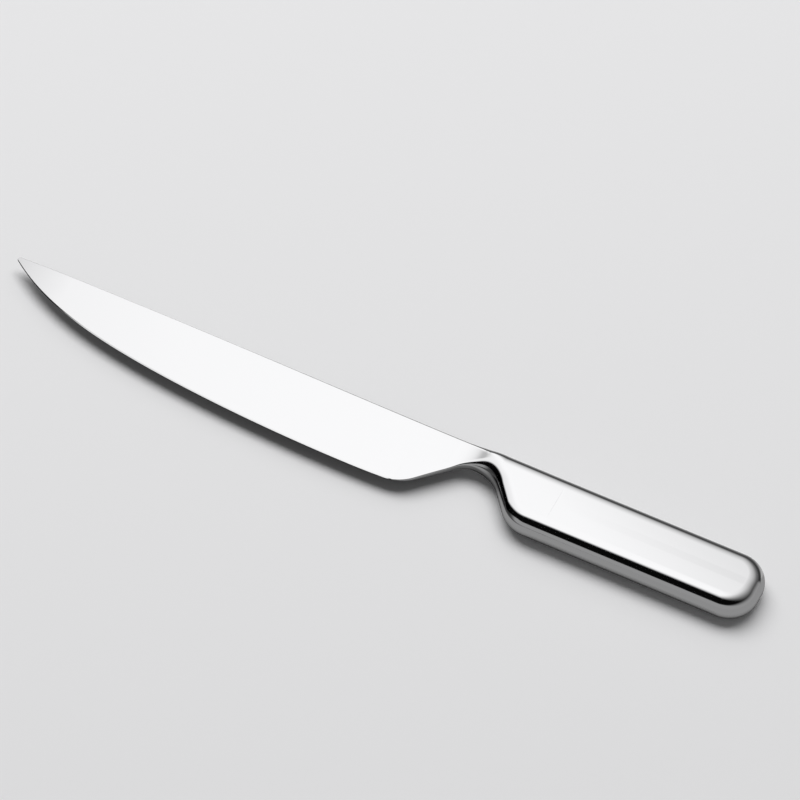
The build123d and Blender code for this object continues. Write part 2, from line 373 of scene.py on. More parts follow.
@dataclass(frozen=True)
class KnifeForm:
    """The knife's outline and thickness, which the blade and the handle share."""

    blade_length: float = 200.2
    handle_length: float = 119.8
    blade_width: float = 29.7
    spine_rise: float = 0.9
    tip_drop: float = 0.7
    tip_drop_power: float = 5
    tip_height: float = 1.5
    tip_round: float = 0.9
    crown_from_tip: float = 60.0
    spine_thickness: float = 2.3
    tip_thickness: float = 0.8
    edge_sweep_share: float = 0.57
    tip_curl_power: float = 7
    heel_lift: float = 0.4
    heel_lift_angle: float = math.radians(3)
    heel_radius: float = 16.0
    heel_slope: float = math.radians(45)
    crook_radius: float = 9.0
    neck_width: float = 9.45
    throat_radius: float = 15.0
    shoulder_radius: float = 14.5
    shoulder_slope: float = math.radians(51)
    shoulder_landing: float = 7.0
    ramp_start: float = 10.4
    ramp_length: float = 21.4
    ramp_hollow_share: float = 0.57
    handle_width: float = 27.4
    handle_thickness: float = 13.0
    butt_flat: float = 3.4
    flank_crown: float = 0.1
    shell_wall: float = 1.0
    seam_width: float = 0.4
    bolster_weld_width: float = 0.8

    def __post_init__(self) -> None:
        """Works out the places that follow from the sizes."""

        def put(name: str, value: float) -> None:
            """Keeps a place under its name."""
            object.__setattr__(self, name, value)

        put("butt_x", (self.blade_length + self.handle_length) / 2)
        put("tip_x", -self.butt_x)
        put("neck_x", self.butt_x - self.handle_length)
        put("mid_z", self.handle_thickness / 2)
        put("crown_y", self.blade_width / 2)
        put("edge_low_y", -self.blade_width / 2)
        put("spine_y", self.crown_y - self.spine_rise)
        put("belly_y", self.spine_y - self.handle_width)
        put("middle_y", self.spine_y - self.handle_width / 2)
        put("neck_low_y", self.spine_y - self.neck_width)
        put("tip_edge_y", self.crown_y - self.tip_drop - self.tip_height)
        put("rim_radius", (self.handle_thickness - self.seam_width) / 2)
        put("butt_radius", (self.handle_width - self.butt_flat) / 2)
        slope, lift = self.heel_slope, self.heel_lift_angle
        put("crook_fall", self.crook_radius * (1 - math.cos(slope)))
        put("crook_start_x", self.neck_x - self.crook_radius * math.sin(slope))
        put("heel_y", self.edge_low_y + self.heel_lift)
        heel_fall = self.heel_radius * (math.cos(lift) - math.cos(slope))
        straight = self.neck_low_y - self.heel_y - self.crook_fall - heel_fall
        put("heel_end_x", self.crook_start_x - straight / math.tan(slope))
        put("heel_x", self.heel_end_x - self.heel_radius * (math.sin(slope) - math.sin(lift)))
        put("edge_low_x", self.heel_x - self.heel_lift / math.tan(lift / 2))
        slope = self.shoulder_slope
        put("throat_fall", self.throat_radius * (1 - math.cos(slope)))
        shoulder_fall = self.shoulder_radius * (1 - math.cos(slope))
        straight = self.neck_low_y - self.belly_y - self.throat_fall - shoulder_fall
        put("throat_end_x", self.neck_x + self.throat_radius * math.sin(slope))
        put("shoulder_start_x", self.throat_end_x + straight / math.tan(slope))
        put("shoulder_end_x", self.shoulder_start_x + self.shoulder_radius * math.sin(slope))
        put("ramp_x", self.neck_x - self.ramp_start)
        put("mouth_x", self.shoulder_end_x + self.shoulder_landing)
        put("shell_x", self.mouth_x + self.bolster_weld_width)

    def edge_y(self, x: float) -> float:
        """Follows the cutting edge: a parabola and a steep power up to the tip, a slight lift behind.

        Args:
            x: Place along the knife.

        Returns:
            The edge's height there.
        """
        if x > self.edge_low_x:
            share = (x - self.edge_low_x) / (self.heel_x - self.edge_low_x)
            return self.edge_low_y + self.heel_lift * share**2
        share = (self.edge_low_x - x) / (self.edge_low_x - self.tip_x)
        sweep = self.edge_sweep_share * share**2 + (1 - self.edge_sweep_share) * share**self.tip_curl_power
        return self.edge_low_y + (self.tip_edge_y - self.edge_low_y) * sweep

    def low(self, x: float) -> tuple[float, float]:
        """Follows the lower outline of the blade, neck and shoulder.

        Args:
            x: Place along the knife.

        Returns:
            The outline's height there, and its slope as an angle.
        """
        if x < self.heel_x:
            return self.edge_y(x), 0.0
        if x < self.heel_end_x:
            lift, radius = self.heel_lift_angle, self.heel_radius
            sine = (x - self.heel_x) / radius + math.sin(lift)
            return self.heel_y + radius * (math.cos(lift) - math.sqrt(1 - sine**2)), math.asin(sine)
        if x < self.crook_start_x:
            fall = (self.crook_start_x - x) * math.tan(self.heel_slope)
            return self.neck_low_y - self.crook_fall - fall, self.heel_slope
        if x < self.throat_end_x:
            radius = self.crook_radius if x < self.neck_x else self.throat_radius
            sine = abs(x - self.neck_x) / radius
            return self.neck_low_y - radius * (1 - math.sqrt(1 - sine**2)), math.asin(sine)
        if x < self.shoulder_start_x:
            fall = (x - self.throat_end_x) * math.tan(self.shoulder_slope)
            return self.neck_low_y - self.throat_fall - fall, self.shoulder_slope
        if x < self.shoulder_end_x:
            sine = (self.shoulder_end_x - x) / self.shoulder_radius
            return self.belly_y + self.shoulder_radius * (1 - math.sqrt(1 - sine**2)), math.asin(sine)
        return self.belly_y, 0.0

    def high(self, x: float) -> float:
        """Follows the spine: a gentle crown, a round corner at the tip, and straight over the handle.

        Args:
            x: Place along the knife.

        Returns:
            The spine's height there.
        """
        if x > self.ramp_x:
            return self.spine_y
        crown_x = self.tip_x + self.crown_from_tip
        if x > crown_x:
            return self.crown_y - self.spine_rise * ease(x, crown_x, self.ramp_x)
        share = (crown_x - x) / self.crown_from_tip
        height = self.crown_y - self.tip_drop * share**self.tip_drop_power
        back = self.tip_x + self.tip_round - x
        if back > 0:
            height -= self.tip_round - math.sqrt(max(self.tip_round**2 - back**2, 0))
        return height

    def crowned(self, place: Vector) -> Vector:
        """Thins a point above or below the middle, so that the handle's flanks are slightly convex.

        Args:
            place: The point, with its height measured from the middle.

        Returns:
            The moved point.
        """
        across = min(abs(place.y - self.middle_y) / (self.handle_width / 2 - self.rim_radius), 2)
        thinner = self.flank_crown / self.mid_z * (1 - math.cos(math.pi / 2 * across))
        thinner *= ease(place.x, self.throat_end_x, self.mouth_x)
        return Vector((place.x, place.y, place.z * (1 - thinner)))

    def spine_half(self, x: float) -> float:
        """Half the blade's thickness at its spine, which tapers evenly to the tip."""
        share = (x - self.tip_x) / (self.ramp_x - self.tip_x)
        return (self.tip_thickness + (self.spine_thickness - self.tip_thickness) * share) / 2

    def ramp_half(self, x: float) -> float:
        """Follows the flank of the neck and shoulder, which rises by a hollow arc and then a round one.

        Args:
            x: Place along the knife.

        Returns:
            Half the thickness there.
        """
        rise = (self.handle_thickness - self.spine_thickness) / 2
        share = min(max((x - self.ramp_x) / self.ramp_length, 0), 1)
        if share < self.ramp_hollow_share:
            return self.spine_thickness / 2 + rise * share**2 / self.ramp_hollow_share
        return self.handle_thickness / 2 - rise * (1 - share) ** 2 / (1 - self.ramp_hollow_share)


def arc(
    centre: tuple[float, float], run: float, rise: float, start: float, steps: int
) -> list[tuple[float, float]]:
    """Points on a quarter of an ellipse.

    Args:
        centre: Its centre.
        run: Its half width.
        rise: Its half height.
        start: The angle where it starts, which it leaves clockwise.
        steps: Number of steps.

    Returns:
        The points, both ends among them.
    """
    angles = [start - math.pi / 2 * i / steps for i in range(steps + 1)]
    return [(centre[0] + run * math.cos(a), centre[1] + rise * math.sin(a)) for a in angles]


@dataclass
class Blade:
    """The one forging: blade, neck and shoulder, with the plug and tang that the handle hides."""

    form: KnifeForm
    finish: PolishedSteel
    # The sharpened edge and the rounded corners
    bevel_thickness: float = 0.5
    bevel_height: float = 0.5
    tip_bevel_height: float = 0.28
    tip_bevel_length: float = 40.0
    edge_thickness: float = 0.06
    corner_round: float = 0.42
    edge_round_share: float = 0.7
    spine_round_share: float = 0.46
    belly_round_end_x: float = 46.0
    turn_length: float = 3.0
    wedge_length: float = 11.5
    tip_spine_round: float = 0.72
    spine_round_gain: float = 0.18
    heel_fullness: float = 0.8
    spine_round_power: float = 2
    # The mesh's rows and stations
    corner_steps: int = 30
    flank_steps: int = 24
    tip_steps: int = 10
    tip_reach: float = 20.0
    landing_lead: float = 0.2
    row_gap: float = 0.04
    least_width: float = 0.1
    widest_row: float = 0.2
    # What the handle hides
    plug_length: float = 6.0
    plug_clearance: float = 0.15
    tang_width: float = 12.0
    tang_thickness: float = 4.0
    tang_edge_round: float = 1.0
    tang_edge_steps: int = 4
    tang_end_x: float = 114.0
    hole_radius: float = 2.0
    hole_steps: int = 32
    notch_place_share: float = 0.75

    def side_round(self, x: float) -> float:
        """Gives the spine's rounding, which grows towards the handle.

        Args:
            x: Place along the knife.

        Returns:
            The share of the half thickness that is rounded.
        """
        form = self.form
        last = form.rim_radius / form.mid_z
        if x > form.ramp_x:
            first = self.side_round(form.ramp_x)
            return first + (last - first) * min((x - form.ramp_x) / form.ramp_length, 1)
        share = (x - form.tip_x) / (form.ramp_x - form.tip_x)
        return self.tip_spine_round + self.spine_round_gain * share**self.spine_round_power

    def belly_round(self, x: float) -> float:
        """Gives the underside's rounding, which stays slight at the neck.

        Args:
            x: Place along the knife.

        Returns:
            The share of the half thickness that is rounded.
        """
        form = self.form
        first = self.corner_round / (form.spine_thickness / 2)
        last = form.rim_radius / form.mid_z
        return first + (last - first) * ease(x, form.ramp_x, self.belly_round_end_x)

    def bevel(self, x: float) -> float:
        """Height of the sharpened bevel, which is ground steeper towards the tip."""
        share = min((x - self.form.tip_x) / self.tip_bevel_length, 1)
        return self.tip_bevel_height + (self.bevel_height - self.tip_bevel_height) * share

    def plate_half(self, x: float, y: float) -> float:
        """Follows the blade's bevel and its flat ground flank, which is fuller towards the heel.

        Args:
            x: Place along the knife.
            y: Height above the middle of its width.

        Returns:
            Half the blade's thickness there.
        """
        edge, top = self.form.edge_y(x), self.form.high(x)
        bevel_y = edge + self.bevel(x)
        if y < bevel_y:
            share = (y - edge) / self.bevel(x)
            return (self.edge_thickness + (self.bevel_thickness - self.edge_thickness) * share) / 2
        share = (y - bevel_y) / (top - bevel_y)
        share += self.heel_fullness * ease(x, self.form.heel_x, self.form.ramp_x) * (1 - share)
        return self.bevel_thickness / 2 + (self.form.spine_half(x) - self.bevel_thickness / 2) * share

    def section(self, x: float) -> list[Vector]:
        """Works out the upper half of the blade's section.

        Args:
            x: Place along the knife.

        Returns:
            The points from the middle of the underside to the middle of the spine.
        """
        form = self.form
        low, slope = form.low(x)
        top = form.high(x)
        room = (top - low) * self.spine_round_share
        high_half, low_half = form.spine_half(x), self.plate_half(x, low)
        high_round = min(self.side_round(x) * high_half, room)
        low_rise = min(self.corner_round, low_half * self.edge_round_share)
        low_run = min(low_rise / math.cos(slope), room)
        low_half = self.plate_half(x, low + low_run)
        lower = arc((low + low_run, low_half - low_rise), low_run, low_rise, math.pi, self.corner_steps)
        bevel_y = form.edge_y(x) + self.bevel(x)
        bevel_left = min((bevel_y - low) / self.bevel(x), 1)
        if x < form.heel_end_x and bevel_left > 0:
            # Here the corner is the sharpened bevel, which the heel's curve grinds away
            bevel_y = min(max(bevel_y, low + low_run), low + room)
            first, last = self.plate_half(x, low), self.plate_half(x, bevel_y)
            for i, (y, z) in enumerate(lower):
                share = i / self.corner_steps
                rise, swell = low + (bevel_y - low) * share - y, first + (last - first) * share - z
                lower[i] = (y + rise * bevel_left, z + swell * bevel_left)
        centre = (top - high_round, high_half - high_round)
        upper = arc(centre, high_round, high_round, math.pi / 2, self.corner_steps)
        (y0, z0), (y1, z1) = lower[-1], upper[0]
        flank = [(y0 + (y1 - y0) * s, z0 + (z1 - z0) * s) for s in self.flank_shares(y1 - y0)]
        points = [(low, 0.0)] + lower + flank + upper[1:] + [(top, 0.0)]
        return [Vector((x, y, z)) for y, z in points]

    def flank_shares(self, width: float) -> list[float]:
        """Shares of the flank's width where its rows lie, with one close to each end."""
        close = min(self.row_gap / max(width, self.least_width), self.widest_row)
        return spread((close, 1 - close, self.flank_steps - 2)) + [1.0]

    def neck_height(self, x: float, y: float) -> float:
        """Follows the neck's and shoulder's flank, which starts as the blade's ground wedge.

        Args:
            x: Place along the knife.
            y: Height above the middle of its width.

        Returns:
            Half the thickness there.
        """
        form = self.form
        start = form.spine_thickness / 2 - self.plate_half(form.ramp_x, form.low(form.ramp_x)[0])
        share = min((x - form.ramp_x) / self.wedge_length, 1)
        return form.ramp_half(x) - start * (1 - share) * (form.spine_y - y) / (form.spine_y - form.low(x)[0])

    def neck_section(self, x: float) -> list[Vector]:
        """Works out the upper half of a row round the neck or shoulder, square to the outline below.

        Args:
            x: Where the row starts on the lower outline.

        Returns:
            The points from the middle of the underside to the middle of the spine.
        """
        form = self.form
        low, slope = form.low(x)
        slope = math.copysign(slope, x - form.neck_x)
        turn = ease(x, form.ramp_x, form.ramp_x + self.turn_length)
        run = form.ramp_half(x) * self.belly_round(x)
        square = Vector((math.sin(slope) * turn, math.cos(slope) * turn + (1 - turn) / math.cos(slope)))
        points = [Vector((x, low, 0.0))]
        for i in range(self.corner_steps + 1):
            angle = math.pi / 2 * i / self.corner_steps
            back = run * (1 - math.cos(angle))
            place = Vector((x, low)) + square * back
            share = 1 - self.belly_round(place.x) * (1 - math.sin(angle))
            points.append(Vector((*place, self.neck_height(*place) * share)))
        inner = points[-1]
        high_run = form.ramp_half(inner.x) * self.side_round(inner.x)
        high_run = min(high_run, (form.spine_y - form.low(inner.x)[0]) * self.spine_round_share)
        high_y = form.spine_y - high_run
        for share in self.flank_shares(high_y - inner.y):
            y = inner.y + (high_y - inner.y) * share
            points.append(Vector((inner.x, y, self.neck_height(inner.x, y))))
        for i in range(self.corner_steps):
            angle = math.pi / 2 * (1 - (i + 1) / self.corner_steps)
            y = form.spine_y - high_run * (1 - math.cos(angle))
            share = 1 - self.side_round(inner.x) * (1 - math.sin(angle))
            points.append(Vector((inner.x, y, self.neck_height(inner.x, y) * share)))
        points.append(Vector((inner.x, form.spine_y, 0.0)))
        return [form.crowned(point) for point in points]

    def stations(self) -> list[float]:
        """Lists the places for the sections.

        Returns:
            The places along the knife, from the tip to the handle's mouth.
        """
        form = self.form
        angles = [math.pi / 2 * i / self.tip_steps for i in range(self.tip_steps)]
        turn = [form.tip_x + form.tip_round * (1 - math.cos(a)) for a in angles]
        return turn + spread(
            (form.tip_x + form.tip_round, form.tip_x + self.tip_reach, 40),
            (form.tip_x + self.tip_reach, form.heel_x, 120),
            (form.heel_x, form.heel_end_x, 40),
            (form.heel_end_x, form.ramp_x, 16),
            (form.ramp_x, form.crook_start_x, 14),
            (form.crook_start_x, form.neck_x, 24),
            (form.neck_x, form.throat_end_x, 40),
            (form.throat_end_x, form.shoulder_start_x, 18),
            (form.shoulder_start_x, form.shoulder_end_x - self.landing_lead, 60),
            (form.shoulder_end_x - self.landing_lead, form.shoulder_end_x, 2),
            (form.shoulder_end_x, form.mouth_x, 3),
        )

    def outer_skin(self, bm: BMesh) -> None:
        """Adds the blade, neck and shoulder: the upper half, its mirror image and the blunt tip's end.

        Args:
            bm: The mesh that takes it.
        """
        ramp_x = self.form.ramp_x + MERGE_MM
        sections = [self.section(x) if x < ramp_x else self.neck_section(x) for x in self.stations()]
        sheet(bm, len(sections) - 1, len(sections[0]) - 1, lambda column, row: sections[column][row])
        bmesh.ops.remove_doubles(bm, verts=bm.verts, dist=MERGE_MM)
        geom = bm.verts[:] + bm.edges[:] + bm.faces[:]
        bmesh.ops.mirror(bm, geom=geom, matrix=Matrix.Identity(4), merge_dist=MERGE_MM, axis="Z")
        edges = [e for e in bm.edges if e.is_boundary and e.calc_length() > 0]
        tip = [e for e in edges if all(abs(v.co.x - self.form.tip_x) < NEAR_MM for v in e.verts)]
        bmesh.ops.contextual_create(bm, geom=tip)

    def plug(self, bm: BMesh) -> None:
        """Adds the step and the plug that seats in the handle's mouth.

        Args:
            bm: The blade's mesh, open at the mouth.
        """
        form = self.form
        gap = form.shell_wall + self.plug_clearance
        flat_y = form.handle_width / 2 - form.rim_radius
        flat_z = form.handle_thickness / 2 - form.rim_radius
        rim = [e for e in bm.edges if e.is_boundary]
        for x, inset in ((form.mouth_x, gap), (form.mouth_x + self.plug_length, 0)):
            made = bmesh.ops.extrude_edge_only(bm, edges=rim)["geom"]
            rim = [g for g in made if isinstance(g, BMEdge) and g.is_boundary]
            shrink = 1 - inset / form.rim_radius
            for vert in {v for edge in rim for v in edge.verts}:
                # Only the round corners shrink, about their centres
                across, up = vert.co.y - form.middle_y, vert.co.z
                y, z = min(max(across, -flat_y), flat_y), min(max(up, -flat_z), flat_z)
                vert.co = (x, form.middle_y + y + (across - y) * shrink, z + (up - z) * shrink)
        bmesh.ops.contextual_create(bm, geom=rim)

    def tang(self, bm: BMesh) -> None:
        """Adds the flat tang, with a hole and two notches that the cement keys into.

        Args:
            bm: The blade's mesh.
        """
        form = self.form
        start, end, half = form.mouth_x + self.plug_length, self.tang_end_x, self.tang_width / 2
        plan = bmesh.new()
        hole_x, notch_x = (start + end) / 2, start + (end - start) * self.notch_place_share
        for x, y in ((hole_x, 0), (notch_x, half), (notch_x, -half)):
            place = Matrix.Translation((x, y, 0))
            bmesh.ops.create_circle(plan, segments=self.hole_steps, radius=self.hole_radius, matrix=place)
        for y in (half, -half):
            geom = plan.verts[:] + plan.edges[:]
            normal = (0, math.copysign(1, y), 0)
            bmesh.ops.bisect_plane(plan, geom=geom, plane_co=(0, y, 0), plane_no=normal, clear_outer=True)
        corners = {}
        for y in (half, -half):
            mouth = sorted((v for v in plan.verts if abs(v.co.y - y) < NEAR_MM), key=lambda v: v.co.x)
            corners[y] = [plan.verts.new((start, y, 0)), plan.verts.new((end, y, 0))]
            plan.edges.new((corners[y][0], mouth[0]))
            plan.edges.new((mouth[-1], corners[y][1]))
        for i in (0, 1):
            plan.edges.new((corners[half][i], corners[-half][i]))
        bmesh.ops.triangle_fill(plan, use_beauty=True, edges=plan.edges[:])
        made = bmesh.ops.extrude_face_region(plan, geom=plan.faces[:])["geom"]
        raised = [g for g in made if isinstance(g, BMVert)]
        bmesh.ops.translate(plan, vec=(0, 0, self.tang_thickness), verts=raised)
        bmesh.ops.translate(plan, vec=(0, form.middle_y, -self.tang_thickness / 2), verts=plan.verts)
        long_edges = [e for e in plan.edges if e.is_manifold and self.on_side(e, form.middle_y, half)]
        bmesh.ops.bevel(
            plan,
            geom=long_edges,
            offset=self.tang_edge_round,
            affect="EDGES",
            segments=self.tang_edge_steps,
            profile=0.5,
            material=-1,
        )
        solid = bpy.data.meshes.new("tang")
        plan.to_mesh(solid)
        plan.free()
        bm.from_mesh(solid)
        bpy.data.meshes.remove(solid)

    def on_side(self, edge: BMEdge, middle: float, half: float) -> bool:
        """Tells whether an edge of the tang is one of its four long corners."""
        level = edge.verts[0].co.z == edge.verts[1].co.z
        return level and all(abs(abs(vert.co.y - middle) - half) < NEAR_MM for vert in edge.verts)

    def build(self) -> Object:
        """Builds and dresses the forging."""
        bm = bmesh.new()
        self.outer_skin(bm)
        self.plug(bm)
        self.tang(bm)
        steel = self.finish.material()
        return finish_piece(bm, self.form.mid_z, "knife_blade", "blade", steel)


@dataclass
class HollowHandle:
    """Two pressed shells, the bead that joins them and the bead that joins them to the shoulder."""

    form: KnifeForm
    shell_finish: PolishedSteel
    weld_finish: PolishedSteel
    turn_steps: int = 40
    rim_steps: int = 30
    settle: float = 0.06
    flank_strips: int = 24
    mouth_lead: float = 20.0
    turn_lead: float = 0.3
    rim_lead: float = 0.4

    def plan(self) -> list[tuple[Vector, Vector]]:
        """Lists the handle's plan, from the mouth along the underside, round the butt and back.

        Returns:
            For each point its place and its outward direction.
        """
        form, radius = self.form, self.form.butt_radius
        turn_x = form.butt_x - radius
        down, up = Vector((0, -1, 0)), Vector((0, 1, 0))
        straight = (form.shell_x, form.shell_x + self.mouth_lead, turn_x - self.turn_lead)
        path = [(Vector((x, form.belly_y, 0)), down) for x in straight]
        for centre_y, start in ((form.belly_y + radius, -90), (form.spine_y - radius, 0)):
            centre = Vector((turn_x, centre_y, 0))
            for i in range(self.turn_steps + 1):
                angle = math.radians(start + 90 * i / self.turn_steps)
                out = Vector((math.cos(angle), math.sin(angle), 0))
                path.append((centre + out * radius, out))
        return path + [(Vector((x, form.spine_y, 0)), up) for x in reversed(straight)]

    def rim(self) -> list[float]:
        """Lists the angles of the round rim, from level at the seam to upright at the flank."""
        lead, top = self.rim_lead, 90 - self.rim_lead
        return [math.radians(a) for a in spread((0, lead, 1), (lead, top, self.rim_steps), (top, 90, 1))]

    def skin(self, bm: BMesh, side: Side, inset: float) -> list[BMEdge]:
        """Adds one skin of a shell: its round rim, and the flank inside it, cut into strips.

        Args:
            bm: The mesh that takes the skin.
            side: Which shell it belongs to.
            inset: How far it stands inside the handle's outer skin.

        Returns:
            The mesh's open edges.
        """
        form, path, angles = self.form, self.plan(), self.rim()
        radius = form.rim_radius - inset

        def place(column: int, row: int) -> Vector:
            """Gives a point of the rim, or of the narrow level ring inside it."""
            point, out = path[column]
            angle = angles[min(row, len(angles) - 1)]
            back = inset + radius * (1 - math.cos(angle)) + (self.settle if row == len(angles) else 0)
            height = form.seam_width / 2 + radius * math.sin(angle)
            return point - out * back + Vector((0, 0, side.value * height))

        made = sheet(bm, len(path) - 1, len(angles), place)
        edges = {e for vert in made for e in vert.link_edges if e.is_boundary}
        level = form.seam_width / 2 + radius
        inner = [e for e in edges if all(abs(abs(v.co.z) - level) < MERGE_MM for v in e.verts)]
        # The ring's two ends, at the mouth, are short and run square to the handle
        runs = {e: abs(e.verts[0].co.x - e.verts[1].co.x) + e.calc_length() for e in inner}
        inner = [e for e in inner if runs[e] > 2 * self.settle]
        ends = [v for v in {v for e in inner for v in e.verts} if sum(v in e.verts for e in inner) == 1]
        closing = bm.edges.new(ends)
        flank = bmesh.ops.contextual_create(bm, geom=inner + [closing])["faces"]
        half = form.handle_width / 2 - form.rim_radius
        for i in range(1, self.flank_strips):
            cut = (0, form.middle_y - half + 2 * half * i / self.flank_strips, 0)
            edges, verts = {e for f in flank for e in f.edges}, {v for f in flank for v in f.verts}
            geom = flank + list(edges) + list(verts)
            made = bmesh.ops.bisect_plane(bm, geom=geom, plane_co=cut, plane_no=(0, 1, 0))["geom"]
            flank = [g for g in made if isinstance(g, BMFace)]
        return [e for e in bm.edges if e.is_boundary]

    def shell(self, side: Side) -> Object:
        """Builds one pressed shell: two skins, joined along the seam and the mouth.

        Args:
            side: Which of the two.

        Returns:
            The dressed shell.
        """
        bm = bmesh.new()
        self.skin(bm, side, 0.0)
        open_edges = self.skin(bm, side, self.form.shell_wall)
        for vert in bm.verts:
            vert.co = self.form.crowned(vert.co)
        bmesh.ops.bridge_loops(bm, edges=open_edges)
        node = f"{side.name.lower()}_handle_shell"
        name = f"pressed_{side.name.lower()}_shell"
        steel = self.shell_finish.material()
        return finish_piece(bm, self.form.mid_z, name, node, steel)

    def seam_weld(self) -> Object:
        """Builds the bead along both sides and round the butt, ground flush with the shells.

        Returns:
            The dressed bead.
        """
        form, path, bm = self.form, self.plan(), bmesh.new()
        half, wall = form.seam_width / 2, form.shell_wall
        corners = ((0, -half), (0, half), (wall, half), (wall, -half), (0, -half))

        def place(column: int, row: int) -> Vector:
            """Gives a point on one of the bead's four long corners."""
            point, out = path[column]
            inset, height = corners[row]
            return point - out * inset + Vector((0, 0, height))

        sheet(bm, len(path) - 1, len(corners) - 1, place)
        bmesh.ops.remove_doubles(bm, verts=bm.verts, dist=MERGE_MM)
        bmesh.ops.holes_fill(bm, edges=[e for e in bm.edges if e.is_boundary], sides=4)
        weld = self.weld_finish.material()
        return finish_piece(bm, form.mid_z, "ground_seam_weld", "handle_seam_weld", weld)

    def bolster_weld(self) -> Object:
        """Builds the bead round the handle's mouth, ground flush with the shoulder and the shells.

        Returns:
            The dressed bead.
        """
        form, bm = self.form, bmesh.new()
        radius, wall = form.rim_radius, form.shell_wall
        ring = []
        for y, z, start in (
            (form.spine_y - radius, form.seam_width / 2, 0),
            (form.belly_y + radius, form.seam_width / 2, 90),
            (form.belly_y + radius, -form.seam_width / 2, 180),
            (form.spine_y - radius, -form.seam_width / 2, 270),
        ):
            for i in range(self.rim_steps + 1):
                angle = math.radians(start + 90 * i / self.rim_steps)
                out = Vector((0, math.cos(angle), math.sin(angle)))
                ring.append((Vector((0, y, z)) + out * radius, out))
            if start in (0, 180):
                shift = Vector((0, math.copysign(self.settle, start - 90), 0))
                ring.append((ring[-1][0] + shift, ring[-1][1]))
        ring.append(ring[0])
        width = form.bolster_weld_width
        corners = ((0, 0), (width, 0), (width, wall), (0, wall), (0, 0))

        def place(column: int, row: int) -> Vector:
            """Gives a point on one of the ring's four corners."""
            point, out = ring[column]
            along, inset = corners[row]
            return form.crowned(point - out * inset + Vector((form.mouth_x + along, 0, 0)))

        sheet(bm, len(ring) - 1, len(corners) - 1, place)
        weld = self.weld_finish.material()
        return finish_piece(bm, form.mid_z, "ground_bolster_weld", "bolster_weld", weld)

    def build(self) -> list[Object]:
        """Builds and dresses the four pieces."""
        return [self.shell(Side.UPPER), self.shell(Side.LOWER), self.seam_weld(), self.bolster_weld()]


@dataclass
class HandleCore:
    """What the handle holds: a sawn steel weight, and the cement round it and the tang."""

    weight_finish: SawnSteel
    filling_finish: CastCement

    def dress(self) -> None:
        """Gives the two CAD solids their finishes."""
        for node, finish in (("balance_weight", self.weight_finish), ("handle_filling", self.filling_finish)):
            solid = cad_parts[node]
            solid.data.materials.clear()
            solid.data.materials.append(finish.material())
            log.info("%s: dressed as %s", node, finish.name)


